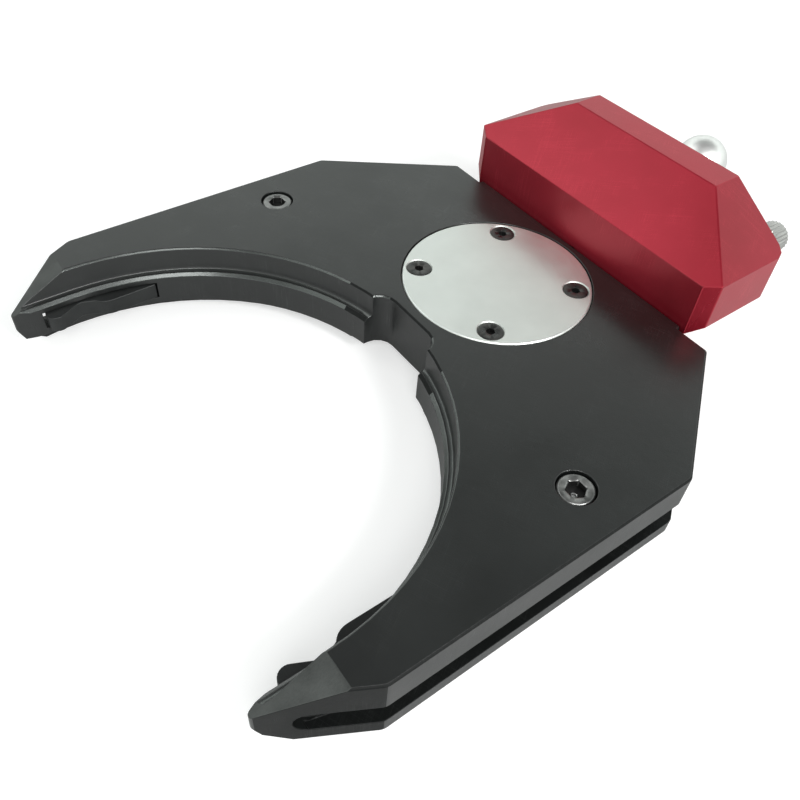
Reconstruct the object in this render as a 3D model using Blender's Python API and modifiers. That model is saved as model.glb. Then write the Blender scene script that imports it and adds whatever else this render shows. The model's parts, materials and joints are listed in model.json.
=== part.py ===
"""Pneumatic gripper: a forked yoke with two swinging fingers, worked by a spring-return piston.

The yoke lies flat with its jaw opening towards -Y. The housing at +Y holds the cylinder. Air at the
elbow pushes the piston towards -Y, the crosshead takes the finger tails along, and the pads swing
out of the jaw. The spring brings everything back, so the gripper holds with no air.

The origin is on the cover disc's axis, at the underside of the yoke.
"""

from math import atan2, cos, degrees, pi, radians, sin, sqrt, tan

import bmesh
import bpy
from mathutils import Matrix, Vector

MM = 0.001
GAP = 0.3 * MM

# Yoke
YOKE_TOP = 23.5 * MM
YOKE_HALF_WIDTH = 87.0 * MM
YOKE_BACK = 31.0 * MM
BACK_HALF_WIDTH = 58.2 * MM
SHOULDER_Y = -10.0 * MM
CHEEK_END_Y = -103.5 * MM
TIP_CORNER = (72.55 * MM, -129.85 * MM)
TIP_INNER_START = (69.0 * MM, -117.05 * MM)
EDGE_CHAMFER = 0.5 * MM

# Jaw: a round seat that runs straight out towards -Y
JAW_Y = -109.75 * MM
JAW_FACETS = 80
RIM_RADIUS = 70.65 * MM
SEAT_RADIUS = 73.3 * MM
LEDGE_Z = 15.5 * MM
RIM_CHAMFER = 1.0 * MM
COVE_RADIUS = 1.2 * MM
UNDERCUT_RADIUS = 76.0 * MM
UNDERCUT_TOP = 4.9 * MM
NOTCH_HALF_WIDTH = 13.7 * MM
NOTCH_Y = -33.4 * MM
NOTCH_FILLET = 5.5 * MM
NOTCH_UNDERCUT_HALF_WIDTH = 19.0 * MM
NOTCH_UNDERCUT_Y = -28.0 * MM
NOTCH_UNDERCUT_TOP = 5.2 * MM

# Tips: sloped on top, and rising to a blunt nose below. Each line is (y, z, angle).
SLOPE = (-109.7 * MM, YOKE_TOP, atan2(9.6, 18.8))
NOSE = (-120.3 * MM, 0, -atan2(4.8, 6.2))
NOSE_END = (-126.5 * MM, 4.8 * MM, -atan2(4.1, 1.8))

# Finger slot, milled through the sides of the yoke
SLOT_LOW = 5.1 * MM
SLOT_HIGH = 12.8 * MM
SLOT_WALL_RADIUS = 79.3 * MM
SLOT_END_Y = -120.8 * MM
SLOT_END_DEPTH = 3.0 * MM
SLOT_BACK_Y = -2.0 * MM
WINDOW_LOW = 7.0 * MM
WINDOW_BACK_Y = -85.0 * MM
WINDOW_END_Y = -119.9 * MM

# Fingers
PIVOT = (72.55 * MM, -36.55 * MM)
TAIL_PIN = (12.0 * MM, 1.0 * MM)
FINGER_LOW = 7.3 * MM
FINGER_HIGH = 12.5 * MM
HUB_LOW = 5.4 * MM
HUB_RADIUS = 9.0 * MM
TAIL_END_RADIUS = 5.0 * MM
TAIL_ROOT_HALF_WIDTH = 6.5 * MM
PAD_X = 66.2 * MM
PAD_FRONT_Y = -99.6 * MM
PAD_BACK_Y = -85.4 * MM
PAD_RADIUS = 5.5 * MM
NOSE_CENTRE = (69.8 * MM, -116.4 * MM)
NOSE_RADIUS = 3.0 * MM
OUTER_SIDE_X = 85.3 * MM
BUSH_OUTER_RADIUS = 5.5 * MM
BUSH_INNER_RADIUS = 4.3 * MM
SHOULDER_RADIUS = 4.0 * MM
PIVOT_HEAD_RADIUS = 5.0 * MM
PIVOT_HEAD_SEAT = 17.0 * MM
PIVOT_THREAD_RADIUS = 3.0 * MM
PIN_RADIUS = 2.0 * MM
ROLLER_RADIUS = 3.0 * MM

# Centre chamber and its cover
DISC_RADIUS = 30.0 * MM
DISC_THICKNESS = 2.5 * MM
CHAMBER_RADIUS = 21.0 * MM
CHAMBER_FLOOR = 3.0 * MM
COVER_SCREW_CIRCLE = 24.6 * MM
COVER_HEAD_RADIUS = 3.85 * MM
COVER_SCREW_END = 13.0 * MM

# Drive line, along Y
DRIVE_Z = 14.0 * MM
ROD_RADIUS = 3.0 * MM
GUIDE_RADIUS = 5.0 * MM
CYLINDER_RADIUS = 8.6 * MM
CYLINDER_END_Y = 59.0 * MM
PISTON_FRONT_Y = 44.0 * MM
SLIDER_HALF_WIDTH = 18.0 * MM
SLIDER_LOW = 13.1 * MM
SLIDER_HIGH = 20.1 * MM
SLIDER_FRONT_Y = -5.0 * MM
SLIDER_BACK_Y = 7.0 * MM
ROLLER_SLOT_INNER = 5.6 * MM
ROLLER_SLOT_OUTER = 15.6 * MM

# Housing
HOUSING_FRONT = 33.3 * MM
HOUSING_BACK = 65.1 * MM
HOUSING_HALF_WIDTH = 52.5 * MM
HOUSING_FLAT_HALF_WIDTH = 29.1 * MM
HOUSING_LOW = 1.0 * MM
HOUSING_SIDE_LOW = 25.4 * MM
HOUSING_SIDE_HIGH = 40.7 * MM
HOUSING_HIGH = 54.7 * MM
FRONT_WALL_HIGH = 39.0 * MM
FRONT_SLOPE_END_Y = 54.15 * MM
HOUSING_SCREWS = [(-36 * MM, 17 * MM), (36 * MM, 17 * MM), (-17 * MM, 8 * MM), (17 * MM, 8 * MM)]
SENSOR_X = 14.0 * MM
SENSOR_Z = 19.9 * MM
DOWEL_X = 27.0 * MM
HEAD_SEAT_Y = 59.5 * MM
HEAD_RADIUS = 3.5 * MM
THREAD_END_Y = 19.5 * MM

# Seal plate between the yoke and the housing
PLATE_LOW = 2.0 * MM
PLATE_HIGH = YOKE_TOP - 0.8 * MM
PLATE_HALF_WIDTH = 46.5 * MM
PLATE_FOOT_HALF_WIDTH = 28.5 * MM

# Fittings on the back of the housing: (x, z) of each axis
ELBOW = (10.0 * MM, 47.0 * MM)
ELBOW_Y = 74.0 * MM
ELBOW_RADIUS = 8.2 * MM
ELBOW_PORT_RADIUS = 6.2 * MM
ELBOW_PORT_END = -17.0 * MM
TUBE_RADIUS = 4.2 * MM
SOCKET = (44.1 * MM, 39.9 * MM)
SOCKET_RING_RADIUS = 4.8 * MM
SOCKET_RING_END_Y = 72.0 * MM
VENT = (-22.0 * MM, 40.0 * MM)

# Mounting holes in the underside
MOUNT_HALF_SPACING = 22.0 * MM
MOUNT_DEPTH = 10.0 * MM
DOWEL_HOLE_Y = 22.0 * MM

ALONG_Y = (-pi / 2, 0, 0)
SIDES = (("left", -1), ("right", 1))


def clear_scene():
    for old in list(bpy.data.objects):
        bpy.data.objects.remove(old, do_unlink=True)


def new_collection(name):
    group = bpy.data.collections.new(name)
    bpy.context.scene.collection.children.link(group)
    return group


clear_scene()
PARTS = new_collection("pneumatic_gripper")
CUTTERS = new_collection("cutters")


def new_material(name, color, roughness, metallic):
    finish = bpy.data.materials.new(name)
    finish.use_nodes = True
    shader = finish.node_tree.nodes["Principled BSDF"]
    shader.inputs["Base Color"].default_value = (*color, 1)
    shader.inputs["Roughness"].default_value = roughness
    shader.inputs["Metallic"].default_value = metallic
    finish.diffuse_color = (*color, 1)
    return finish


BLACK_ANODISED = new_material("black_anodised", (0.035, 0.037, 0.038), 0.42, 0.6)
RED_ANODISED = new_material("red_anodised", (0.45, 0.02, 0.045), 0.38, 0.8)
BRUSHED_ALUMINIUM = new_material("brushed_aluminium", (0.62, 0.64, 0.62), 0.35, 1.0)
BLACK_OXIDE = new_material("black_oxide", (0.02, 0.02, 0.022), 0.38, 0.8)
FINGER_STEEL = new_material("finger_steel", (0.05, 0.052, 0.055), 0.4, 0.8)
BRIGHT_STEEL = new_material("bright_steel", (0.6, 0.6, 0.6), 0.25, 1.0)
NICKEL = new_material("nickel", (0.78, 0.77, 0.74), 0.18, 1.0)
BRONZE = new_material("bronze", (0.5, 0.3, 0.12), 0.5, 1.0)
RUBBER = new_material("rubber", (0.02, 0.02, 0.02), 0.7, 0.0)
BLACK_PLASTIC = new_material("black_plastic", (0.03, 0.03, 0.03), 0.5, 0.0)
MAGNET = new_material("magnet", (0.12, 0.12, 0.12), 0.6, 0.5)


# ---------------------------------------------------------------- shape helpers

def add(name, mesh, group):
    piece = bpy.data.objects.new(name, mesh)
    group.objects.link(piece)
    return piece


def as_part(piece, finish, angle=30):
    """Settle a piece's modifiers, give it its material and smooth its round faces."""
    bpy.context.view_layer.update()
    evaluated = piece.evaluated_get(bpy.context.evaluated_depsgraph_get())
    mesh = bpy.data.meshes.new_from_object(evaluated)
    mesh.name = piece.name
    piece.modifiers.clear()
    piece.data = mesh
    mesh.materials.clear()
    mesh.materials.append(finish)
    mesh.shade_smooth()
    mesh.set_sharp_from_angle(angle=radians(angle))
    return piece


def as_cutter(piece):
    piece.display_type = "WIRE"
    piece.hide_render = True
    return piece


def arc(centre, radius, start, end, steps):
    """Points on an arc, with both ends. Angles are in degrees."""
    points = []
    for step in range(steps + 1):
        angle = radians(start + (end - start) * step / steps)
        points.append((centre[0] + radius * cos(angle), centre[1] + radius * sin(angle)))
    return points


def fillet(before, corner, after, radius, steps=4):
    """The arc that rounds one corner of an outline."""
    here = Vector(corner)
    back = (Vector(before) - here).normalized()
    ahead = (Vector(after) - here).normalized()
    half = back.angle(ahead) / 2
    centre = here + (back + ahead).normalized() * (radius / sin(half))
    start = here + back * (radius / tan(half)) - centre
    end = here + ahead * (radius / tan(half)) - centre
    sweep = start.angle_signed(end)
    first = atan2(start.y, start.x)
    return [
        (centre.x + radius * cos(first - sweep * step / steps),
         centre.y + radius * sin(first - sweep * step / steps))
        for step in range(steps + 1)
    ]


def rounded(corners):
    """An outline whose corners are (x, y) or, with a radius, (x, y, radius)."""
    points = []
    for index, corner in enumerate(corners):
        if len(corner) == 2:
            points.append(corner)
            continue
        before = corners[index - 1][:2]
        after = corners[(index + 1) % len(corners)][:2]
        points += fillet(before, corner[:2], after, corner[2])
    return points


def prism(name, outline, low, high, group=CUTTERS, chamfer=0.0):
    """A flat outline raised from one height to another, as one welded mesh."""
    curve = bpy.data.curves.new(name, "CURVE")
    curve.dimensions = "2D"
    curve.fill_mode = "BOTH"
    spline = curve.splines.new("POLY")
    spline.points.add(len(outline) - 1)
    for point, (x, y) in zip(spline.points, outline):
        point.co = (x, y, 0, 1)
    spline.use_cyclic_u = True
    curve.extrude = (high - low) / 2 - chamfer
    curve.bevel_depth = chamfer
    curve.bevel_resolution = 0
    curve.offset = -chamfer
    drawn = bpy.data.objects.new(name, curve)
    PARTS.objects.link(drawn)
    bpy.context.view_layer.update()
    evaluated = drawn.evaluated_get(bpy.context.evaluated_depsgraph_get())
    mesh = bpy.data.meshes.new_from_object(evaluated)
    mesh.name = name
    mesh.transform(Matrix.Translation((0, 0, (low + high) / 2)))
    bpy.data.objects.remove(drawn)
    work = bmesh.new()
    work.from_mesh(mesh)
    bmesh.ops.remove_doubles(work, verts=work.verts, dist=0.001 * MM)
    bmesh.ops.recalc_face_normals(work, faces=work.faces)
    work.to_mesh(mesh)
    work.free()
    return add(name, mesh, group)


def turned(name, profile, at, group=CUTTERS, steps=24, rotation=(0, 0, 0), ring=False):
    """A profile of (radius, height) points, top to bottom on the outer side, turned round Z."""
    count = len(profile)
    edges = [(index, index + 1) for index in range(count - 1)]
    if ring:
        edges.append((count - 1, 0))
    mesh = bpy.data.meshes.new(name)
    mesh.from_pydata([(radius, 0, height) for radius, height in profile], edges, [])
    piece = add(name, mesh, group)
    piece.location = at
    piece.rotation_euler = rotation
    screw = piece.modifiers.new("turn", "SCREW")
    screw.steps = steps
    screw.render_steps = steps
    screw.use_merge_vertices = True
    screw.merge_threshold = 0.00001
    screw.use_normal_calculate = False
    return piece


def horseshoe(name, profile, at):
    """A profile turned through half a circle, then carried straight out along -Y."""
    half = turned(name, profile, at, steps=JAW_FACETS // 2)
    half.modifiers["turn"].angle = pi
    bpy.context.view_layer.update()
    evaluated = half.evaluated_get(bpy.context.evaluated_depsgraph_get())
    mesh = bpy.data.meshes.new_from_object(evaluated)
    half.modifiers.clear()
    half.data = mesh
    work = bmesh.new()
    work.from_mesh(mesh)
    rim = [edge for edge in work.edges if edge.is_boundary]
    drawn = bmesh.ops.extrude_edge_only(work, edges=rim)["geom"]
    moved = [item for item in drawn if isinstance(item, bmesh.types.BMVert)]
    bmesh.ops.translate(work, vec=(0, JAW_Y, 0), verts=moved)
    bmesh.ops.holes_fill(work, edges=[edge for edge in work.edges if edge.is_boundary])
    bmesh.ops.recalc_face_normals(work, faces=work.faces)
    work.to_mesh(mesh)
    work.free()
    return half


def rod_profile(radius, low, high, chamfer=0.0):
    return [
        (0, high),
        (radius - chamfer, high),
        (radius, high - chamfer),
        (radius, low + chamfer),
        (radius - chamfer, low),
        (0, low),
    ] if chamfer else [(0, high), (radius, high), (radius, low), (0, low)]


def ring_profile(inner, outer, low, high):
    return [(inner, high), (outer, high), (outer, low), (inner, low)]


def torus(name, major, minor, at, finish, rotation=(0, 0, 0)):
    bpy.ops.mesh.primitive_torus_add(
        major_radius=major, minor_radius=minor, major_segments=24, minor_segments=6,
        location=at, rotation=rotation,
    )
    piece = bpy.context.object
    piece.name = name
    piece.data.name = name
    for group in list(piece.users_collection):
        group.objects.unlink(piece)
    PARTS.objects.link(piece)
    return as_part(piece, finish, 60)


def box(name, low, high, group=CUTTERS):
    """A cube stretched between two corners."""
    work = bmesh.new()
    bmesh.ops.create_cube(work, size=1)
    size = Vector(high) - Vector(low)
    bmesh.ops.scale(work, vec=size, verts=work.verts)
    bmesh.ops.translate(work, vec=Vector(low) + size / 2, verts=work.verts)
    mesh = bpy.data.meshes.new(name)
    work.to_mesh(mesh)
    work.free()
    return add(name, mesh, group)


def hexagon(name, across_flats, low, high, at, rotation=(0, 0, 0), group=CUTTERS):
    """A six-sided bar along the local Z."""
    work = bmesh.new()
    corner_radius = across_flats / sqrt(3)
    bmesh.ops.create_cone(
        work, cap_ends=True, segments=6, radius1=corner_radius, radius2=corner_radius,
        depth=high - low, matrix=Matrix.Translation((0, 0, (low + high) / 2)),
    )
    mesh = bpy.data.meshes.new(name)
    work.to_mesh(mesh)
    work.free()
    piece = add(name, mesh, group)
    piece.location = at
    piece.rotation_euler = rotation
    return piece


def combine(target, tool, operation="DIFFERENCE"):
    """Cut a tool out of a piece, or join it on. The tool stays as a guide."""
    as_cutter(tool)
    change = target.modifiers.new(tool.name, "BOOLEAN")
    change.operation = operation
    change.solver = "EXACT"
    change.object = tool
    return target


def carry(anchor, *pieces):
    """Parent pieces to the empty on their joint's axis, and leave them where they are."""
    for piece in pieces:
        piece.parent = anchor
        piece.matrix_parent_inverse = Matrix.Translation(-anchor.location)


def joint_anchor(name, at):
    anchor = add(name, None, PARTS)
    anchor.empty_display_size = 8 * MM
    anchor.location = at
    return anchor


def mirrored(points, side):
    """The same outline on one side or the other of the middle plane."""
    return [(point[0] * side, *point[1:]) for point in points]


# ---------------------------------------------------------------- yoke

def yoke_outline():
    """Right half from the notch to the tip, round the arm to the back edge, then the left half.

    The jaw here is narrower than the real one, which is cut to shape afterwards.
    """
    half = [
        (NOTCH_HALF_WIDTH, NOTCH_Y, NOTCH_FILLET),
        (NOTCH_HALF_WIDTH, NOTCH_Y - 12 * MM),
        TIP_INNER_START,
        (*TIP_CORNER, 1.0 * MM),
        (YOKE_HALF_WIDTH, CHEEK_END_Y, 4.0 * MM),
        (YOKE_HALF_WIDTH, SHOULDER_Y, 3.0 * MM),
        (BACK_HALF_WIDTH, YOKE_BACK, 1.5 * MM),
    ]
    other_half = [(-corner[0], *corner[1:]) for corner in reversed(half)]
    return rounded(half + other_half)


def slot_outline():
    """The pocket for one finger, from the centre chamber out through the side of the yoke."""
    outside = YOKE_HALF_WIDTH + 8 * MM
    end_y = SLOT_END_Y + 3 * MM
    wall = arc((0, JAW_Y), SLOT_WALL_RADIUS, 0, 46, 14)
    return [
        (8 * MM, 12 * MM),
        (60 * MM, -14.5 * MM),
        (69 * MM, -10.5 * MM),
        (77 * MM, SLOT_BACK_Y),
        (outside, SLOT_BACK_Y),
        (outside, end_y),
        (77.0 * MM, end_y),
    ] + wall + [
        (12 * MM, -14 * MM),
        (8 * MM, -12 * MM),
    ]


def slot_end(side, name):
    """The round end that the slot cutter leaves in the tip, square to its outer face."""
    cheek_end = Vector((YOKE_HALF_WIDTH, CHEEK_END_Y))
    along = (cheek_end - Vector(TIP_CORNER)).normalized()
    radius = (SLOT_HIGH - SLOT_LOW) / 2
    end = cheek_end + along * ((SLOT_END_Y - CHEEK_END_Y) / along.y)
    centre = end + along * radius
    turn = atan2(-along.x, along.y) * side
    return turned(
        name, rod_profile(radius, -SLOT_END_DEPTH, 5 * MM),
        (centre.x * side, centre.y, (SLOT_LOW + SLOT_HIGH) / 2),
        rotation=(0, pi / 2 * side, turn),
    )


def window_outline():
    """The opening in the jaw wall through which one finger's pads stand out."""
    return [
        (56 * MM, WINDOW_BACK_Y - 0.5 * MM),
        (80 * MM, WINDOW_BACK_Y + 0.7 * MM),
        (80.5 * MM, -104 * MM),
        (78.9 * MM, -117 * MM),
        (77.3 * MM, -119.3 * MM),
        (76.4 * MM, WINDOW_END_Y),
        (56 * MM, WINDOW_END_Y),
    ]


def wedge(name, start_y, start_z, angle, above):
    """A big block whose one face is a slope of the tips."""
    reach = 60 * MM
    width = YOKE_HALF_WIDTH + 10 * MM
    low, high = (0, reach) if above else (-reach, 0)
    block = box(name, (-width, -reach, low), (width, 0, high))
    block.location = (0, start_y, start_z)
    block.rotation_euler = (angle, 0, 0)
    return block


def jaw_profile():
    """Half of the jaw: its wall with a cove at the foot, the ledge and the rim."""
    cove = [
        (SEAT_RADIUS - COVE_RADIUS * (1 - sin(angle)), LEDGE_Z + COVE_RADIUS * (1 - cos(angle)))
        for angle in (radians(step) for step in (90, 45, 0))
    ]
    return [
        (0, YOKE_TOP + MM),
        (SEAT_RADIUS + 1.5 * MM, YOKE_TOP + MM),
        (SEAT_RADIUS, YOKE_TOP - 0.5 * MM),
        *cove,
        (RIM_RADIUS + RIM_CHAMFER, LEDGE_Z),
        (RIM_RADIUS, LEDGE_Z - RIM_CHAMFER),
        (RIM_RADIUS, -MM),
        (0, -MM),
    ]


def make_yoke():
    yoke = prism("yoke_body", yoke_outline(), 0, YOKE_TOP, PARTS, EDGE_CHAMFER)
    combine(yoke, horseshoe("jaw_cut", jaw_profile(), (0, JAW_Y, 0)))
    undercut = rod_profile(UNDERCUT_RADIUS, -MM, UNDERCUT_TOP)
    combine(yoke, turned("undercut", undercut, (0, JAW_Y, 0), steps=72))
    low = (-NOTCH_UNDERCUT_HALF_WIDTH, NOTCH_Y - 12 * MM, -MM)
    high = (NOTCH_UNDERCUT_HALF_WIDTH, NOTCH_UNDERCUT_Y, NOTCH_UNDERCUT_TOP)
    combine(yoke, box("notch_undercut", low, high))
    combine(yoke, wedge("tip_slope", *SLOPE, True))
    combine(yoke, wedge("nose_slope", *NOSE, False))
    combine(yoke, wedge("nose_end", *NOSE_END, False))

    seat = rod_profile(DISC_RADIUS + 0.1 * MM, YOKE_TOP - DISC_THICKNESS - GAP, YOKE_TOP + MM)
    combine(yoke, turned("cover_seat", seat, (0, 0, 0), steps=48))
    chamber = rod_profile(CHAMBER_RADIUS, CHAMBER_FLOOR, YOKE_TOP)
    combine(yoke, turned("chamber", chamber, (0, 0, 0), steps=36))
    for index, (x, y) in enumerate(cover_screw_places(), 1):
        hole = rod_profile(PIN_RADIUS + GAP, COVER_SCREW_END - MM, YOKE_TOP)
        combine(yoke, turned(f"cover_thread_{index}", hole, (x, y, 0), steps=12))

    for label, side in SIDES:
        slot = prism(f"slot_{label}", mirrored(slot_outline(), side), SLOT_LOW, SLOT_HIGH)
        combine(yoke, slot)
        combine(yoke, slot_end(side, f"slot_end_{label}"))
        window = mirrored(window_outline(), side)
        combine(yoke, prism(f"window_{label}", window, WINDOW_LOW, SLOT_HIGH))
        x, y = PIVOT
        counterbore = [
            (0, YOKE_TOP + MM),
            (PIVOT_HEAD_RADIUS + 0.4 * MM, YOKE_TOP + MM),
            (PIVOT_HEAD_RADIUS + 0.4 * MM, PIVOT_HEAD_SEAT),
            (SHOULDER_RADIUS + GAP, PIVOT_HEAD_SEAT),
            (SHOULDER_RADIUS + GAP, SLOT_LOW + MM),
            (PIVOT_THREAD_RADIUS + GAP, SLOT_LOW + MM),
            (PIVOT_THREAD_RADIUS + GAP, -MM),
            (0, -MM),
        ]
        combine(yoke, turned(f"pivot_hole_{label}", counterbore, (x * side, y, 0), steps=24))

    guide = rod_profile(GUIDE_RADIUS + GAP, 18 * MM, YOKE_BACK + MM)
    combine(yoke, turned("guide_bore", guide, (0, 0, DRIVE_Z), steps=24, rotation=ALONG_Y))
    for index, (x, z) in enumerate(HOUSING_SCREWS, 1):
        hole = rod_profile(PIN_RADIUS + GAP, THREAD_END_Y - 0.5 * MM, YOKE_BACK + MM)
        combine(yoke, turned(f"housing_thread_{index}", hole, (x, 0, z), steps=12, rotation=ALONG_Y))
    for label, side in SIDES:
        hole = rod_profile(PIN_RADIUS + GAP, 25.5 * MM, YOKE_BACK + MM)
        place = (DOWEL_X * side, 0, DRIVE_Z)
        combine(yoke, turned(f"dowel_bore_{label}", hole, place, steps=12, rotation=ALONG_Y))

    mount_hole = rod_profile(2.6 * MM, -MM, MOUNT_DEPTH)
    spots = [(x, y) for x in (-1, 1) for y in (-1, 1)]
    for index, (x, y) in enumerate(spots, 1):
        at = (x * MOUNT_HALF_SPACING, y * MOUNT_HALF_SPACING, 0)
        combine(yoke, turned(f"mount_hole_{index}", mount_hole, at, steps=12))
    for index, y in enumerate((-DOWEL_HOLE_Y, DOWEL_HOLE_Y), 1):
        hole = rod_profile(2.5 * MM, -MM, 6 * MM)
        combine(yoke, turned(f"mount_dowel_hole_{index}", hole, (0, y, 0), steps=12))
    as_part(yoke, BLACK_ANODISED, 25)


# ---------------------------------------------------------------- cover

def cover_screw_places():
    diagonal = COVER_SCREW_CIRCLE / sqrt(2)
    return [(x * diagonal, y * diagonal) for x in (-1, 1) for y in (-1, 1)]


def make_cover():
    low = YOKE_TOP - DISC_THICKNESS
    radius = DISC_RADIUS - 2 * 0.1 * MM
    disc = turned("cover_disc", rod_profile(radius, low, YOKE_TOP, 0.3 * MM), (0, 0, 0), PARTS, 48)
    for index, (x, y) in enumerate(cover_screw_places(), 1):
        sink = [
            (0, YOKE_TOP + MM),
            (4.2 * MM, YOKE_TOP + MM),
            (4.2 * MM, YOKE_TOP - 0.2 * MM),
            (2.3 * MM, YOKE_TOP - 2.1 * MM),
            (2.3 * MM, low - MM),
            (0, low - MM),
        ]
        combine(disc, turned(f"cover_sink_{index}", sink, (x, y, 0), steps=16))
        top = YOKE_TOP - 0.15 * MM
        body = [
            (0, top),
            (COVER_HEAD_RADIUS, top),
            (COVER_HEAD_RADIUS, top - 0.25 * MM),
            (PIN_RADIUS, top - 2.1 * MM),
            (PIN_RADIUS, COVER_SCREW_END + 0.5 * MM),
            (PIN_RADIUS - 0.5 * MM, COVER_SCREW_END),
            (0, COVER_SCREW_END),
        ]
        name = f"cover_screw_{index}"
        screw = turned(name, body, (x, y, 0), PARTS, 16)
        combine(screw, hexagon(f"{name}_socket", 2.5 * MM, top - 1.4 * MM, top + MM, (x, y, 0)))
        as_part(screw, BLACK_OXIDE)
    as_part(disc, BRUSHED_ALUMINIUM)


# ---------------------------------------------------------------- fingers

def finger_outline():
    """Tail, jaw side with its two pads, nose, outer side and heel."""
    pivot = Vector(PIVOT)
    pin = Vector(TAIL_PIN)
    along = (pin - pivot).normalized()
    across = Vector((along.y, -along.x))
    lower_root = pivot + along * 9 * MM - across * TAIL_ROOT_HALF_WIDTH
    upper_root = pivot + along * 12 * MM + across * TAIL_ROOT_HALF_WIDTH
    heading = degrees(atan2(across.y, across.x))
    tail_end = arc(TAIL_PIN, TAIL_END_RADIUS, heading, heading + 180, 10)
    pad = arc((PAD_X + PAD_RADIUS, PAD_FRONT_Y), PAD_RADIUS, 180, 235, 5)
    nose = arc(NOSE_CENTRE, NOSE_RADIUS, 150, 262, 8)
    return rounded(tail_end + [
        (*lower_root, 3 * MM),
        (64.5 * MM, -50 * MM, 8 * MM),
        (72.9 * MM, -75.5 * MM, 12 * MM),
        (75.9 * MM, -83.6 * MM, 0.3 * MM),
        (75.9 * MM, PAD_BACK_Y + 0.5 * MM),
        (PAD_X, PAD_BACK_Y, 0.4 * MM),
    ] + pad + [
        (70.3 * MM, -108.6 * MM, 3 * MM),
    ] + nose + [
        (71.8 * MM, -118.9 * MM, 0.8 * MM),
        (82.6 * MM, -101 * MM, 8 * MM),
        (OUTER_SIDE_X, -42 * MM, 12 * MM),
        (OUTER_SIDE_X, -12 * MM, 2 * MM),
        (83.2 * MM, -8.2 * MM, 1.5 * MM),
        (78 * MM, -6 * MM, 2 * MM),
        (70 * MM, -14 * MM, 2 * MM),
        (*upper_root, 2 * MM),
    ])


def make_finger(label, side):
    x, y = PIVOT[0] * side, PIVOT[1]
    anchor = joint_anchor(f"{label}_pivot_axis", (x, y, 0))
    outline = mirrored(finger_outline(), side)
    blade = prism(f"finger_{label}", outline, FINGER_LOW, FINGER_HIGH, PARTS)
    hub = rod_profile(HUB_RADIUS, HUB_LOW, FINGER_HIGH - MM)
    combine(blade, turned(f"hub_{label}", hub, (x, y, 0), steps=24), "UNION")
    bore = rod_profile(BUSH_OUTER_RADIUS + GAP, HUB_LOW - MM, FINGER_HIGH + MM)
    combine(blade, turned(f"hub_bore_{label}", bore, (x, y, 0), steps=24))
    pin_x, pin_y = TAIL_PIN[0] * side, TAIL_PIN[1]
    pin_hole = rod_profile(PIN_RADIUS + GAP, FINGER_LOW - MM, FINGER_HIGH + MM)
    combine(blade, turned(f"tail_hole_{label}", pin_hole, (pin_x, pin_y, 0), steps=16))
    as_part(blade, FINGER_STEEL)

    bush = ring_profile(BUSH_INNER_RADIUS, BUSH_OUTER_RADIUS, HUB_LOW, FINGER_HIGH)
    bush = turned(f"pivot_bush_{label}", bush, (x, y, 0), PARTS, 24, ring=True)
    as_part(bush, BRONZE)

    shank_low = FINGER_LOW + 0.2 * MM
    pin = [
        (0, 20.3 * MM),
        (2.8 * MM, 20.3 * MM),
        (2.8 * MM, 19.8 * MM),
        (PIN_RADIUS, 19.8 * MM),
        (PIN_RADIUS, shank_low),
        (0, shank_low),
    ]
    pin = as_part(turned(f"tail_pin_{label}", pin, (pin_x, pin_y, 0), PARTS, 16), BRIGHT_STEEL)

    roller_anchor = joint_anchor(f"{label}_roller_axis", (pin_x, pin_y, 0))
    roller = ring_profile(PIN_RADIUS + GAP, ROLLER_RADIUS, 13.2 * MM, 19.4 * MM)
    roller = turned(f"tail_roller_{label}", roller, (pin_x, pin_y, 0), PARTS, 16, ring=True)
    as_part(roller, BRIGHT_STEEL)
    carry(roller_anchor, roller)
    bpy.context.view_layer.update()
    carry(anchor, blade, bush, pin, roller_anchor)

    top = YOKE_TOP - 0.5 * MM
    shoulder_screw = [
        (0, top),
        (PIVOT_HEAD_RADIUS - 0.5 * MM, top),
        (PIVOT_HEAD_RADIUS, top - 0.5 * MM),
        (PIVOT_HEAD_RADIUS, PIVOT_HEAD_SEAT + GAP),
        (SHOULDER_RADIUS, PIVOT_HEAD_SEAT + GAP),
        (SHOULDER_RADIUS, SLOT_LOW + MM + GAP),
        (PIVOT_THREAD_RADIUS, SLOT_LOW + MM + GAP),
        (PIVOT_THREAD_RADIUS, GAP + 0.5 * MM),
        (PIVOT_THREAD_RADIUS - 0.5 * MM, GAP),
        (0, GAP),
    ]
    name = f"pivot_screw_{label}"
    screw = turned(name, shoulder_screw, (x, y, 0), PARTS, 20)
    corner_on_x = (0, 0, radians(30))
    socket = hexagon(f"{name}_socket", 5.0 * MM, top - 3.0 * MM, top + MM, (x, y, 0), corner_on_x)
    combine(screw, socket)
    as_part(screw, BLACK_OXIDE)


# ---------------------------------------------------------------- drive

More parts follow.
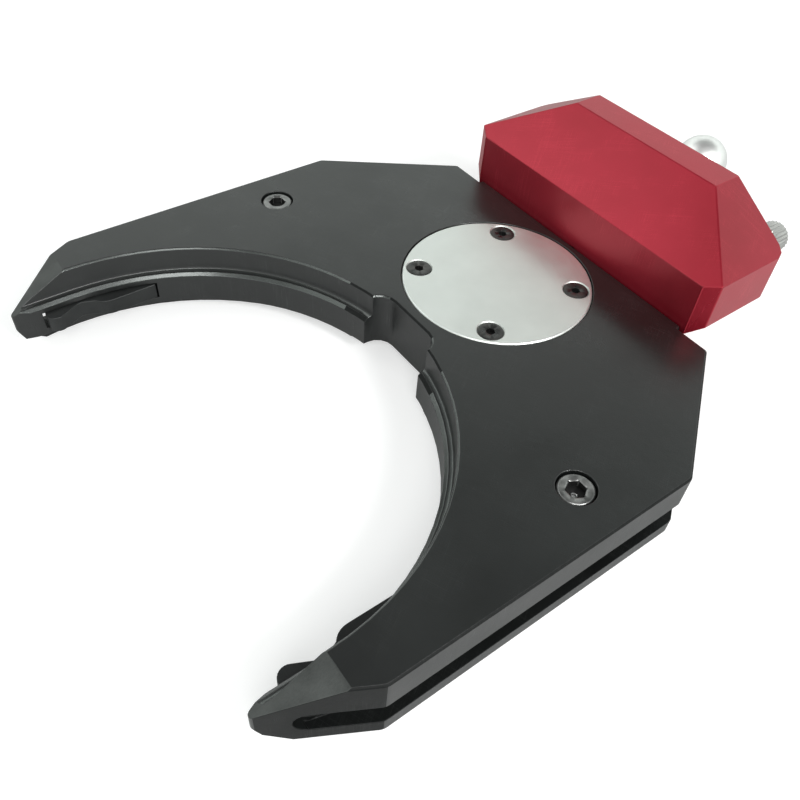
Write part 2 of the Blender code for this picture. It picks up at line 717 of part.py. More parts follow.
def make_drive():
    anchor = joint_anchor("drive_axis", (0, PISTON_FRONT_Y, DRIVE_Z))
    half = SLIDER_HALF_WIDTH
    low, high = (-half, SLIDER_FRONT_Y, SLIDER_LOW), (half, SLIDER_BACK_Y, SLIDER_HIGH)
    slider = box("crosshead", low, high, PARTS)
    boss = box("crosshead_boss", (-5.5 * MM, 5 * MM, 9.5 * MM), (5.5 * MM, 13 * MM, 19.5 * MM))
    combine(slider, boss, "UNION")
    for label, side in SIDES:
        inner, outer = ROLLER_SLOT_INNER, ROLLER_SLOT_OUTER
        reach = ROLLER_RADIUS + GAP
        corners = mirrored([
            (inner, TAIL_PIN[1] - reach, 1.2 * MM),
            (outer, TAIL_PIN[1] - reach, 1.2 * MM),
            (outer, TAIL_PIN[1] + reach, 1.2 * MM),
            (inner, TAIL_PIN[1] + reach, 1.2 * MM),
        ], side)
        slot = prism(f"roller_slot_{label}", rounded(corners), SLIDER_LOW - MM, SLIDER_HIGH + MM)
        combine(slider, slot)
    rod_hole = rod_profile(ROD_RADIUS + GAP, SLIDER_BACK_Y + 0.7 * MM, 14 * MM)
    rod_hole = turned("rod_socket", rod_hole, (0, 0, DRIVE_Z), steps=20, rotation=ALONG_Y)
    combine(slider, rod_hole)
    as_part(slider, BRIGHT_STEEL)

    on_axis = (0, 0, DRIVE_Z)
    rod = rod_profile(ROD_RADIUS, 8 * MM, 56 * MM, 0.5 * MM)
    rod = turned("piston_rod", rod, on_axis, PARTS, 16, ALONG_Y)
    as_part(rod, BRIGHT_STEEL)

    bore = ROD_RADIUS + GAP
    outer = CYLINDER_RADIUS - GAP
    groove = outer - 2.1 * MM
    front = PISTON_FRONT_Y
    piston = [
        (bore, front + 6 * MM),
        (outer, front + 6 * MM),
        (outer, front + 4.1 * MM),
        (groove, front + 4.1 * MM),
        (groove, front + 1.9 * MM),
        (outer, front + 1.9 * MM),
        (outer, front),
        (bore, front),
    ]
    piston = turned("piston", piston, on_axis, PARTS, 24, ALONG_Y, ring=True)
    as_part(piston, BRUSHED_ALUMINIUM)
    seal_at = (0, front + 3 * MM, DRIVE_Z)
    seal = torus("piston_seal", outer - 0.95 * MM, 0.85 * MM, seal_at, RUBBER, ALONG_Y)
    magnet = ring_profile(bore, outer - 0.5 * MM, front + 6.3 * MM, front + 8.3 * MM)
    magnet = turned("piston_magnet", magnet, on_axis, PARTS, 24, ALONG_Y, ring=True)
    as_part(magnet, MAGNET)
    nut = hexagon("piston_nut", 9 * MM, front + 8.6 * MM, front + 11.6 * MM, on_axis, ALONG_Y, PARTS)
    nut_bore = rod_profile(bore, front + 8 * MM, front + 13 * MM)
    combine(nut, turned("nut_bore", nut_bore, on_axis, steps=20, rotation=ALONG_Y))
    as_part(nut, BRIGHT_STEEL)
    carry(anchor, slider, rod, piston, seal, magnet, nut)

    guide = ring_profile(ROD_RADIUS + GAP, GUIDE_RADIUS, 21.5 * MM, 28 * MM)
    guide = turned("rod_bush", guide, on_axis, PARTS, 16, ALONG_Y, ring=True)
    as_part(guide, BRONZE)
    torus("rod_seal", 4.2 * MM, 0.8 * MM, (0, 29.4 * MM, DRIVE_Z), RUBBER, ALONG_Y)


def make_spring():
    """A compression spring round the rod, between the seal plate and the piston."""
    turns = 4
    points_per_turn = 12
    coil_radius = 6.6 * MM
    wire_radius = 0.7 * MM
    low = HOUSING_FRONT + GAP + wire_radius
    high = PISTON_FRONT_Y - GAP - wire_radius
    curve = bpy.data.curves.new("return_spring", "CURVE")
    curve.dimensions = "3D"
    curve.bevel_depth = wire_radius
    curve.bevel_resolution = 2
    curve.use_fill_caps = True
    spline = curve.splines.new("POLY")
    count = turns * points_per_turn + 1
    spline.points.add(count - 1)
    for index, point in enumerate(spline.points):
        angle = 2 * pi * index / points_per_turn
        y = low + (high - low) * index / (count - 1)
        x = coil_radius * cos(angle)
        z = DRIVE_Z + coil_radius * sin(angle)
        point.co = (x, y, z, 1)
    spring = bpy.data.objects.new("return_spring", curve)
    PARTS.objects.link(spring)
    curve.materials.append(BRIGHT_STEEL)


# ---------------------------------------------------------------- housing

def housing_block():
    """The red housing before drilling: an eight-sided bar with a sloped front and cut corners."""
    section = [
        (HOUSING_HALF_WIDTH, HOUSING_SIDE_LOW),
        (HOUSING_HALF_WIDTH, HOUSING_SIDE_HIGH),
        (HOUSING_FLAT_HALF_WIDTH, HOUSING_HIGH),
    ]
    section += [(-x, z) for x, z in reversed(section)]
    section += [(-HOUSING_FLAT_HALF_WIDTH, HOUSING_LOW), (HOUSING_FLAT_HALF_WIDTH, HOUSING_LOW)]
    outline = [(x, -z) for x, z in section]
    block = prism("cylinder_housing", outline, HOUSING_FRONT, HOUSING_BACK, PARTS)
    block.data.transform(Matrix.Rotation(-pi / 2, 4, "X"))

    rise = HOUSING_HIGH - FRONT_WALL_HIGH
    run = FRONT_SLOPE_END_Y - HOUSING_FRONT
    reach = 80 * MM
    slope = box("front_slope", (-reach, -reach, 0), (reach, reach, reach))
    slope.location = (0, HOUSING_FRONT, FRONT_WALL_HIGH)
    slope.rotation_euler = (atan2(rise, run), 0, 0)
    combine(block, slope)
    for label, side in SIDES:
        front = prism(f"front_corner_{label}", mirrored([
            (48.0 * MM, HOUSING_FRONT),
            (HOUSING_HALF_WIDTH, HOUSING_FRONT + 2.5 * MM),
            (HOUSING_HALF_WIDTH + 6 * MM, HOUSING_FRONT + 2.5 * MM),
            (HOUSING_HALF_WIDTH + 6 * MM, HOUSING_FRONT - 6 * MM),
            (48.0 * MM, HOUSING_FRONT - 6 * MM),
        ], side), -MM, HOUSING_HIGH + MM)
        combine(block, front)
        back = prism(f"back_corner_{label}", mirrored([
            (HOUSING_HALF_WIDTH - 3 * MM, HOUSING_BACK),
            (HOUSING_HALF_WIDTH - 0.9 * MM, HOUSING_BACK - 0.9 * MM),
            (HOUSING_HALF_WIDTH, HOUSING_BACK - 3 * MM),
            (HOUSING_HALF_WIDTH + 6 * MM, HOUSING_BACK - 3 * MM),
            (HOUSING_HALF_WIDTH + 6 * MM, HOUSING_BACK + 6 * MM),
            (HOUSING_HALF_WIDTH - 3 * MM, HOUSING_BACK + 6 * MM),
        ], side), -MM, HOUSING_HIGH + MM)
        combine(block, back)
    bevel = block.modifiers.new("broken_edges", "BEVEL")
    bevel.width = 0.35 * MM
    bevel.segments = 1
    bevel.limit_method = "ANGLE"
    bevel.angle_limit = radians(20)
    return block


def drill(target, name, radius, low, high, at, steps=16):
    """A hole along Y, at the (x, z) of its axis."""
    hole = rod_profile(radius, low, high)
    combine(target, turned(name, hole, (at[0], 0, at[1]), steps=steps, rotation=ALONG_Y))


def make_housing():
    housing = housing_block()
    outside = HOUSING_BACK + 2 * MM
    inside = HOUSING_FRONT - 2 * MM
    drill(housing, "cylinder_bore", CYLINDER_RADIUS, inside, CYLINDER_END_Y, (0, DRIVE_Z), 32)
    drill(housing, "air_port", 5.2 * MM, 55 * MM, outside, ELBOW)
    air_way = rod_profile(1.5 * MM, DRIVE_Z + 5 * MM, ELBOW[1])
    combine(housing, turned("air_way", air_way, (6.8 * MM, 57.2 * MM, 0), steps=10))
    drill(housing, "socket_bore", 4.0 * MM, 56 * MM, outside, SOCKET)
    drill(housing, "vent_bore", 3.4 * MM, 57 * MM, outside, VENT)
    for index, place in enumerate(HOUSING_SCREWS, 1):
        drill(housing, f"screw_way_{index}", PIN_RADIUS + GAP, inside, outside, place, 12)
        drill(housing, f"screw_head_way_{index}", HEAD_RADIUS + 0.4 * MM, HEAD_SEAT_Y, outside, place)
    for label, side in SIDES:
        place = (SENSOR_X * side, SENSOR_Z)
        drill(housing, f"sensor_bore_{label}", 2.3 * MM, inside, 52 * MM, place, 12)
        place = (DOWEL_X * side, DRIVE_Z)
        drill(housing, f"dowel_way_{label}", PIN_RADIUS + GAP, inside, 40 * MM, place, 12)
    as_part(housing, RED_ANODISED)

    plate_low = YOKE_BACK + GAP
    plate_high = HOUSING_FRONT - GAP
    outline = [
        (PLATE_HALF_WIDTH, -PLATE_HIGH + 1.7 * MM, MM),
        (PLATE_HALF_WIDTH, -PLATE_HIGH, MM),
        (-PLATE_HALF_WIDTH, -PLATE_HIGH, MM),
        (-PLATE_HALF_WIDTH, -PLATE_HIGH + 1.7 * MM, MM),
        (-PLATE_FOOT_HALF_WIDTH, -PLATE_LOW, 3 * MM),
        (PLATE_FOOT_HALF_WIDTH, -PLATE_LOW, 3 * MM),
    ]
    plate = prism("seal_plate", rounded(outline), plate_low, plate_high, PARTS)
    plate.data.transform(Matrix.Rotation(-pi / 2, 4, "X"))
    drill(plate, "plate_rod_hole", ROD_RADIUS + 0.8 * MM, inside - 2 * MM, outside, (0, DRIVE_Z))
    for index, place in enumerate(HOUSING_SCREWS, 1):
        name = f"plate_screw_hole_{index}"
        drill(plate, name, PIN_RADIUS + GAP, inside - 2 * MM, outside, place, 12)
    for label, side in SIDES:
        place = (DOWEL_X * side, DRIVE_Z)
        name = f"plate_dowel_hole_{label}"
        drill(plate, name, PIN_RADIUS + GAP, inside - 2 * MM, outside, place, 12)
    as_part(plate, BLACK_ANODISED)

    head_top = HEAD_SEAT_Y + GAP + 4.0 * MM
    for index, (x, z) in enumerate(HOUSING_SCREWS, 1):
        shape = [
            (0, head_top),
            (HEAD_RADIUS - 0.4 * MM, head_top),
            (HEAD_RADIUS, head_top - 0.4 * MM),
            (HEAD_RADIUS, HEAD_SEAT_Y + GAP),
            (PIN_RADIUS, HEAD_SEAT_Y + GAP),
            (PIN_RADIUS, THREAD_END_Y + 0.5 * MM),
            (PIN_RADIUS - 0.5 * MM, THREAD_END_Y),
            (0, THREAD_END_Y),
        ]
        name = f"housing_screw_{index}"
        screw = turned(name, shape, (x, 0, z), PARTS, 16, ALONG_Y)
        ends = (head_top - 2.2 * MM, head_top + MM)
        socket = hexagon(f"{name}_socket", 3 * MM, *ends, (x, 0, z), ALONG_Y)
        combine(screw, socket)
        as_part(screw, BLACK_OXIDE)
    for label, side in SIDES:
        dowel = rod_profile(PIN_RADIUS, 25.9 * MM, 39.6 * MM, 0.3 * MM)
        place = (DOWEL_X * side, 0, DRIVE_Z)
        dowel = turned(f"dowel_pin_{label}", dowel, place, PARTS, 16, ALONG_Y)
        as_part(dowel, BRIGHT_STEEL)
        sensor = rod_profile(2.0 * MM, HOUSING_FRONT + GAP, 50 * MM, 0.4 * MM)
        place = (SENSOR_X * side, 0, SENSOR_Z)
        sensor = turned(f"position_sensor_{label}", sensor, place, PARTS, 16, ALONG_Y)
        as_part(sensor, BLACK_PLASTIC)


# ---------------------------------------------------------------- fittings

def make_elbow():
    x, z = ELBOW
    stem = [
        (2.2 * MM, 73 * MM),
        (3.4 * MM, 73 * MM),
        (3.4 * MM, 66.6 * MM),
        (6.0 * MM, 66.6 * MM),
        (6.0 * MM, HOUSING_BACK + GAP),
        (4.9 * MM, HOUSING_BACK + GAP),
        (4.9 * MM, 57.5 * MM),
        (4.4 * MM, 57 * MM),
        (2.2 * MM, 57 * MM),
    ]
    stem = turned("elbow_stem", stem, (x, 0, z), PARTS, 20, ALONG_Y, ring=True)
    as_part(stem, NICKEL)

    anchor = joint_anchor("elbow_axis", (x, ELBOW_Y, z))
    ball = [
        (ELBOW_RADIUS * cos(radians(angle)), ELBOW_RADIUS * sin(radians(angle)))
        for angle in range(90, -50, -15)
    ]
    ball += [(0.0, ball[-1][1])]
    ball[0] = (0.0, ELBOW_RADIUS)
    elbow = turned("elbow_body", ball, (x, ELBOW_Y, z), PARTS, 24, ALONG_Y)
    port = rod_profile(ELBOW_PORT_RADIUS, ELBOW_PORT_END, 0, 0.6 * MM)
    port = turned("elbow_port", port, (x, ELBOW_Y, z), steps=20)
    combine(elbow, port, "UNION")
    drill(elbow, "elbow_seat", 3.7 * MM, 60 * MM, ELBOW_Y, (x, z), 20)
    tube_way = [
        (0, 1.0 * MM),
        (2.2 * MM, 1.0 * MM),
        (2.2 * MM, -8 * MM),
        (TUBE_RADIUS, -8 * MM),
        (TUBE_RADIUS, ELBOW_PORT_END - MM),
        (0, ELBOW_PORT_END - MM),
    ]
    combine(elbow, turned("tube_way", tube_way, (x, ELBOW_Y, z), steps=16))
    as_part(elbow, NICKEL)

    collet_anchor = joint_anchor("collet_axis", (x, ELBOW_Y, z + ELBOW_PORT_END))
    collet = [
        (3.1 * MM, -10.5 * MM),
        (3.9 * MM, -10.5 * MM),
        (3.9 * MM, ELBOW_PORT_END - 1.9 * MM),
        (5.4 * MM, ELBOW_PORT_END - 1.9 * MM),
        (5.4 * MM, ELBOW_PORT_END - 3.0 * MM),
        (3.1 * MM, ELBOW_PORT_END - 3.0 * MM),
    ]
    collet = turned("release_collet", collet, (x, ELBOW_Y, z), PARTS, 20, ring=True)
    as_part(collet, BLACK_PLASTIC)
    carry(collet_anchor, collet)
    bpy.context.view_layer.update()
    carry(anchor, elbow, collet_anchor)


def make_sensor_socket():
    x, z = SOCKET
    core = [
        (0, 69 * MM),
        (2.7 * MM, 69 * MM),
        (2.7 * MM, 71.2 * MM),
        (3.5 * MM, 71.2 * MM),
        (3.5 * MM, 57 * MM),
        (0, 57 * MM),
    ]
    socket = turned("sensor_socket", core, (x, 0, z), PARTS, 20, ALONG_Y)
    as_part(socket, NICKEL)

    anchor = joint_anchor("ring_axis", (x, HOUSING_BACK, z))
    teeth = 24
    outline = []
    for step in range(teeth * 2):
        radius = SOCKET_RING_RADIUS if step % 2 else SOCKET_RING_RADIUS - 0.35 * MM
        angle = pi * step / teeth
        outline.append((x + radius * cos(angle), -z + radius * sin(angle)))
    ring = prism("knurled_ring", outline, HOUSING_BACK + GAP, SOCKET_RING_END_Y, PARTS)
    ring.data.transform(Matrix.Rotation(-pi / 2, 4, "X"))
    drill(ring, "ring_bore", 3.8 * MM, 60 * MM, 74 * MM, SOCKET)
    as_part(ring, NICKEL)
    carry(anchor, ring)


def make_vent():
    x, z = VENT
    vent = [
        (0, 71 * MM),
        (2.6 * MM, 71 * MM),
        (3.6 * MM, 70 * MM),
        (3.6 * MM, 67.4 * MM),
        (4.6 * MM, 67.4 * MM),
        (4.6 * MM, HOUSING_BACK + GAP),
        (3.1 * MM, HOUSING_BACK + GAP),
        (3.1 * MM, 58 * MM),
        (0, 58 * MM),
    ]
    as_part(turned("vent_filter", vent, (x, 0, z), PARTS, 16, ALONG_Y), BRONZE)


make_yoke()
make_cover()
for label, side in SIDES:
    make_finger(label, side)
make_drive()
make_spring()
make_housing()
make_elbow()
make_sensor_socket()
make_vent()
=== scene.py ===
"""Looks of the pneumatic gripper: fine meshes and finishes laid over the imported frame.

Lengths are in metres, in the frame's own axes. A turned piece takes its outline from its node in
the frame and is spun again with rounded corners. A milled piece is its node's own shape with its
edges broken.
"""

import json
from math import cos, pi, radians, sin

import bmesh
import bpy
from mathutils import Matrix, Vector


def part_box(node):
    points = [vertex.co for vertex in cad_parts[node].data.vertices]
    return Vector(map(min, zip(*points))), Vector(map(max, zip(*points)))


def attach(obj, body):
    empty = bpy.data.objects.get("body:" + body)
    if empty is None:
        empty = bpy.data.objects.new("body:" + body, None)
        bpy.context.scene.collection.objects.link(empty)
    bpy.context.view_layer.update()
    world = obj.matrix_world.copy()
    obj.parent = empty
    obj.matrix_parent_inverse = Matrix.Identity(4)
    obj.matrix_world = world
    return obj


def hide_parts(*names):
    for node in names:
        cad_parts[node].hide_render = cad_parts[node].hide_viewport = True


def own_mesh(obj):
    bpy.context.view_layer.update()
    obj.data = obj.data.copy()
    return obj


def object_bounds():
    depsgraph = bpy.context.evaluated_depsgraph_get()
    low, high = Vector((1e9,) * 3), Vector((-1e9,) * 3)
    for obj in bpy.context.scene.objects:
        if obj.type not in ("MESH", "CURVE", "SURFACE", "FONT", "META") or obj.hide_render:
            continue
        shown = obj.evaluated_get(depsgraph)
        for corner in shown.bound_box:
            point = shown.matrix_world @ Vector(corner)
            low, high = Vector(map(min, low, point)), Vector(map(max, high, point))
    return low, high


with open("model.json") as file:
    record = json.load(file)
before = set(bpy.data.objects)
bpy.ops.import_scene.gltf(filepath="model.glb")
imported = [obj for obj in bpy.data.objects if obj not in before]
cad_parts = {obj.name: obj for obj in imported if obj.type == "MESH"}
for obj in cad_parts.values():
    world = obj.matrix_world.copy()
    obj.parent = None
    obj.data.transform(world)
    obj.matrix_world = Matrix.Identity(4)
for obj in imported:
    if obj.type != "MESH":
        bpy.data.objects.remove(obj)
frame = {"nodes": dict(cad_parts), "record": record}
cad_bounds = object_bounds()

MM = 0.001
NEAR = 0.002 * MM
NODES = frame["nodes"]
BODIES = frame["record"]["behaviour"]["bodies"]
BODY_OF = {node: body for body, members in BODIES.items() for node in members}
SLOT_OF = {part["node"]: part["material_slot"] for part in frame["record"]["subparts"]}
SIDES = ("left", "right")
FINISHES = {}


# ---------------------------------------------------------------- finishes

class Finish:
    """A material whose colour, roughness and relief come from procedural nodes."""

    def __init__(self, name, metallic=0.0, specular=0.5, coat=0.0, coat_roughness=0.3):
        self.name = name
        self.material = bpy.data.materials.new(name)
        self.material.use_nodes = True
        self.nodes = self.material.node_tree.nodes
        self.links = self.material.node_tree.links
        self.shader = self.nodes["Principled BSDF"]
        self.shader.inputs["Metallic"].default_value = metallic
        self.shader.inputs["Specular IOR Level"].default_value = specular
        self.shader.inputs["Coat Weight"].default_value = coat
        self.shader.inputs["Coat Roughness"].default_value = coat_roughness
        self.place = self.nodes.new("ShaderNodeTexCoord").outputs["Object"]
        self.relief = None

    def feed(self, socket, source):
        """Give a socket another socket, a number, a colour or a vector."""
        if isinstance(source, bpy.types.NodeSocket):
            self.links.new(source, socket)
        elif socket.type == "RGBA":
            socket.default_value = (*source, 1)
        else:
            socket.default_value = source

    def math(self, operation, first, second):
        node = self.nodes.new("ShaderNodeMath")
        node.operation = operation
        self.feed(node.inputs[0], first)
        self.feed(node.inputs[1], second)
        return node.outputs[0]

    def blend(self, first, second, share):
        """The first value at this share and the second at the rest."""
        return self.math(
            "ADD", self.math("MULTIPLY", first, share), self.math("MULTIPLY", second, 1 - share))

    def vector(self, operation, first, second=None):
        node = self.nodes.new("ShaderNodeVectorMath")
        node.operation = operation
        self.feed(node.inputs[0], first)
        if second is not None:
            self.feed(node.inputs["Scale" if operation == "SCALE" else 1], second)
        return node.outputs["Value" if operation == "LENGTH" else "Vector"]

    def grain(self, size, turn=(0, 0, 0), detail=2.0, place=None):
        """Noise from 0 to 1 whose lumps measure size along each axis, after a turn."""
        laid = self.nodes.new("ShaderNodeMapping")
        laid.vector_type = "TEXTURE"
        self.feed(laid.inputs["Vector"], place or self.place)
        laid.inputs["Rotation"].default_value = turn
        laid.inputs["Scale"].default_value = size if isinstance(size, tuple) else (size,) * 3
        noise = self.nodes.new("ShaderNodeTexNoise")
        noise.inputs["Scale"].default_value = 1
        noise.inputs["Detail"].default_value = detail
        self.feed(noise.inputs["Vector"], laid.outputs["Vector"])
        return noise.outputs[0]

    def turning_marks(self, centre, axis, pitch):
        """Noise in fine rings round an axis, the way a lathe leaves a face and a wall."""
        flat = Vector((1, 1, 1)) - Vector(axis)
        across = self.vector("MULTIPLY", self.vector("SUBTRACT", self.place, centre), flat)
        along = self.vector("MULTIPLY", self.place, axis)
        depth = self.math("ADD", self.vector("LENGTH", across), self.vector("LENGTH", along))
        rings = self.vector("SCALE", tuple(axis), self.math("DIVIDE", depth, pitch))
        round_it = self.vector("SCALE", self.vector("NORMALIZE", across), 1.5)
        return self.grain(1.0, place=self.vector("ADD", rings, round_it))

    def levels(self, source, low, high, to_low=0.0, to_high=1.0):
        node = self.nodes.new("ShaderNodeMapRange")
        for socket, value in zip(node.inputs, (source, low, high, to_low, to_high)):
            self.feed(socket, value)
        return node.outputs[0]

    def roughness_about(self, source, low, high, middle, spread):
        """A roughness that swings about its middle value as the source goes from low to high."""
        return self.levels(source, low, high, middle - spread, middle + spread)

    def scratches(self, heading, length, width, share=0.66):
        """Thin straight marks at one heading in the flat plane, in scattered patches."""
        lines = self.grain((length, width, length), (0, 0, radians(heading)), 1.0)
        patches = self.levels(self.grain(9 * MM), 0.45, 0.6)
        return self.math("MULTIPLY", self.levels(lines, share, share + 0.03), patches)

    def cells(self, spacing):
        """Scattered cells of about this spacing, with a distance and a colour for each."""
        node = self.nodes.new("ShaderNodeTexVoronoi")
        node.inputs["Scale"].default_value = 1 / spacing
        self.feed(node.inputs["Vector"], self.place)
        return node.outputs

    def specks(self, spacing, radius, share):
        """Scattered round dots: only this share of the cells holds one."""
        cells = self.cells(spacing)
        split = self.nodes.new("ShaderNodeSeparateColor")
        self.feed(split.inputs[0], cells["Color"])
        chosen = self.math("LESS_THAN", split.outputs[0], share)
        reach = radius / spacing
        dot = self.levels(cells["Distance"], reach * 0.6, reach, 1, 0)
        return self.math("MULTIPLY", dot, chosen)

    def tint(self, factor, first, second):
        mix = self.nodes.new("ShaderNodeMix")
        mix.data_type = "RGBA"
        self.feed(mix.inputs["Factor"], factor)
        self.feed(mix.inputs[6], first)
        self.feed(mix.inputs[7], second)
        return mix.outputs[2]

    def emboss(self, height, depth):
        """Add a relief on top of the ones already there."""
        bump = self.nodes.new("ShaderNodeBump")
        bump.inputs["Distance"].default_value = depth
        self.feed(bump.inputs["Height"], height)
        if self.relief:
            self.feed(bump.inputs["Normal"], self.relief)
        self.relief = bump.outputs["Normal"]

    def done(self, colour, roughness):
        """Join up the shader and keep the material under its name."""
        self.feed(self.shader.inputs["Base Color"], colour)
        self.feed(self.shader.inputs["Roughness"], roughness)
        self.feed(self.shader.inputs["Normal"], self.relief)
        FINISHES[self.name] = self.material


def anodised(name, dark, light, roughness, metallic=0.0, coat=0.0, specular=0.5, blast=0.02 * MM):
    """Bead-blasted and dyed aluminium, with slow drifts of shade, a fine pebbled skin, light
    handling marks and a little dust."""
    finish = Finish(name, metallic, specular, coat)
    drift = finish.levels(finish.grain(28 * MM, detail=3), 0.3, 0.7)
    pebble = finish.grain(0.35 * MM, detail=3)
    shade = finish.blend(drift, pebble, 0.6)
    marks = finish.math(
        "MAXIMUM",
        finish.scratches(heading=24, length=14 * MM, width=0.05 * MM),
        finish.scratches(heading=-58, length=9 * MM, width=0.04 * MM),
    )
    dust = finish.specks(spacing=9 * MM, radius=0.12 * MM, share=0.25)
    worn = finish.math(
        "MAXIMUM", finish.math("MULTIPLY", marks, 0.35), finish.math("MULTIPLY", dust, 0.8))
    pale = tuple(min(1, 2.2 * channel + 0.05) for channel in light)
    finish.emboss(pebble, blast)
    finish.emboss(finish.grain(2.2 * MM, detail=2), blast)
    rough = finish.roughness_about(shade, 0.2, 0.8, roughness, 0.04)
    rough = finish.math("SUBTRACT", rough, finish.math("MULTIPLY", marks, 0.08))
    finish.done(finish.tint(worn, finish.tint(shade, dark, light), pale), rough)


def machined(name, dark, light, roughness, metallic, heading=0, pitch=0.12 * MM, depth=0.01 * MM):
    """Metal with the fine parallel marks of a milling or grinding pass."""
    finish = Finish(name, metallic)
    passes = finish.grain((12 * MM, pitch, pitch), (0, 0, radians(heading)), 2.0)
    drift = finish.levels(finish.grain(8 * MM, detail=3), 0.3, 0.7)
    shade = finish.blend(drift, passes, 0.5)
    finish.emboss(passes, depth)
    rough = finish.roughness_about(passes, 0.35, 0.65, roughness, 0.06)
    finish.done(finish.tint(shade, dark, light), rough)


def turned_metal(name, dark, light, roughness, centre, axis, pitch=0.09 * MM, depth=0.004 * MM):
    """Metal faced on a lathe: fine rings round its own axis."""
    finish = Finish(name, metallic=1.0)
    rings = finish.turning_marks(centre, axis, pitch)
    drift = finish.levels(finish.grain(14 * MM, detail=3), 0.3, 0.7)
    shade = finish.blend(drift, rings, 0.6)
    finish.emboss(rings, depth)
    finish.emboss(finish.grain(0.5 * MM), depth)
    rough = finish.roughness_about(rings, 0.35, 0.65, roughness, 0.05)
    smear = finish.levels(finish.grain(11 * MM, detail=4), 0.45, 0.7, 0, 0.06)
    finish.done(finish.tint(shade, dark, light), finish.math("ADD", rough, smear))


def plated(name, dark, light, roughness):
    """Bright plated or ground metal with faint stains and hairlines."""
    finish = Finish(name, metallic=1.0)
    deepest = 0.3
    stain = finish.levels(finish.grain(5 * MM, detail=4), 0.4, 0.75, 0, deepest)
    hairs = finish.scratches(heading=70, length=6 * MM, width=0.03 * MM, share=0.64)
    finish.emboss(finish.grain(1.4 * MM, detail=1), 0.006 * MM)
    rough = finish.levels(stain, 0, deepest, roughness, roughness + 0.08)
    rough = finish.math("ADD", rough, finish.math("MULTIPLY", hairs, 0.12))
    finish.done(finish.tint(stain, light, dark), rough)


def oxidised(name, dark, light, roughness, metallic):
    """Blackened steel with a slow bloom of lighter patches and a faint grain."""
    finish = Finish(name, metallic)
    bloom = finish.levels(finish.grain(3 * MM, detail=4), 0.35, 0.7)
    finish.emboss(finish.grain(0.2 * MM, detail=3), 0.008 * MM)
    rough = finish.levels(bloom, 0, 1, roughness - 0.06, roughness + 0.08)
    finish.done(finish.tint(bloom, dark, light), rough)


def sintered(name, dark, light):
    """Pressed bronze powder: rounded grains with dark pores between them."""
    finish = Finish(name, metallic=0.9)
    grains = finish.levels(finish.cells(0.35 * MM)["Distance"], 0.1, 0.6, 1, 0)
    finish.emboss(grains, 0.06 * MM)
    finish.done(finish.tint(grains, dark, light), finish.levels(grains, 0, 1, 0.7, 0.42))


def moulded(name, dark, light, roughness):
    """Rubber or plastic out of a spark-eroded mould."""
    finish = Finish(name)
    skin = finish.grain(0.12 * MM, detail=3)
    bloom = finish.levels(finish.grain(6 * MM, detail=3), 0.35, 0.65)
    finish.emboss(skin, 0.012 * MM)
    rough = finish.roughness_about(skin, 0.3, 0.7, roughness, 0.06)
    finish.done(finish.tint(bloom, dark, light), rough)


anodised("black_anodised", (0.0028, 0.0034, 0.0033), (0.0065, 0.008, 0.0078), 0.36, specular=0.8)
# Painted highlight: a paler, glossier copy of the black anodising, laid on the jaw's slanted
# edges so they show bright lines.
anodised("black_anodised_edge", (0.07, 0.074, 0.072), (0.15, 0.159, 0.155), 0.24,
         metallic=0.85, blast=0.004 * MM)
# Painted shade: a darker, less glossy copy of the black anodising for the finger slots, the tips'
# outer faces and the chamfer round the top.
anodised("black_anodised_matt", (0.0022, 0.0026, 0.0025), (0.005, 0.006, 0.0058), 0.5,
         specular=0.2)
machined("black_anodised_milled", (0.018, 0.020, 0.019), (0.075, 0.080, 0.077), 0.46,
         metallic=0.15, heading=90, pitch=0.3 * MM, depth=0.05 * MM)
anodised("red_anodised", (0.36, 0.008, 0.022), (0.48, 0.014, 0.038), 0.44, metallic=0.7, coat=0.5)
# Painted shade: a darker copy of the red anodising for the housing's front wall and sloping end
# faces.
anodised("red_deep", (0.285, 0.0063, 0.0174), (0.38, 0.0111, 0.03), 0.44, metallic=0.7, coat=0.5)
turned_metal("brushed_aluminium", (0.82, 0.85, 0.82), (0.93, 0.96, 0.93), 0.48,
             centre=(0, 0, 0), axis=(0, 0, 1))
oxidised("black_oxide", (0.055, 0.056, 0.056), (0.13, 0.127, 0.122), 0.32, metallic=0.9)
oxidised("worn_oxide", (0.17, 0.172, 0.17), (0.36, 0.36, 0.355), 0.34, metallic=0.9)
# Painted shade for the inside of hexagon sockets.
oxidised("socket_painted_shade", (0.006, 0.006, 0.006), (0.018, 0.018, 0.018), 0.42, metallic=0.3)
# Painted glint for the middle of the drill's cone in hexagon sockets.
plated("socket_painted_glint", (0.45, 0.45, 0.45), (0.80, 0.80, 0.80), 0.25)
# Painted shade: the fingers' steel is made near-black so their sides read as shadow inside the
# slots.
machined("finger_steel", (0.012, 0.013, 0.013), (0.034, 0.036, 0.036), 0.42, metallic=0.35)
plated("bright_steel", (0.42, 0.42, 0.42), (0.62, 0.62, 0.61), 0.22)
plated("nickel", (0.84, 0.83, 0.81), (0.98, 0.98, 0.97), 0.38)
plated("dark_nickel", (0.28, 0.27, 0.26), (0.52, 0.51, 0.50), 0.26)
sintered("bronze", (0.16, 0.075, 0.025), (0.55, 0.34, 0.15))
moulded("rubber", (0.010, 0.010, 0.010), (0.030, 0.030, 0.030), 0.62)
moulded("black_plastic", (0.014, 0.014, 0.015), (0.034, 0.034, 0.036), 0.42)
oxidised("magnet", (0.06, 0.06, 0.062), (0.15, 0.15, 0.155), 0.5, metallic=0.5)


# ---------------------------------------------------------------- outlines and turned pieces

def middle_of(node):
    low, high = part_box(node)
    return (low + high) / 2


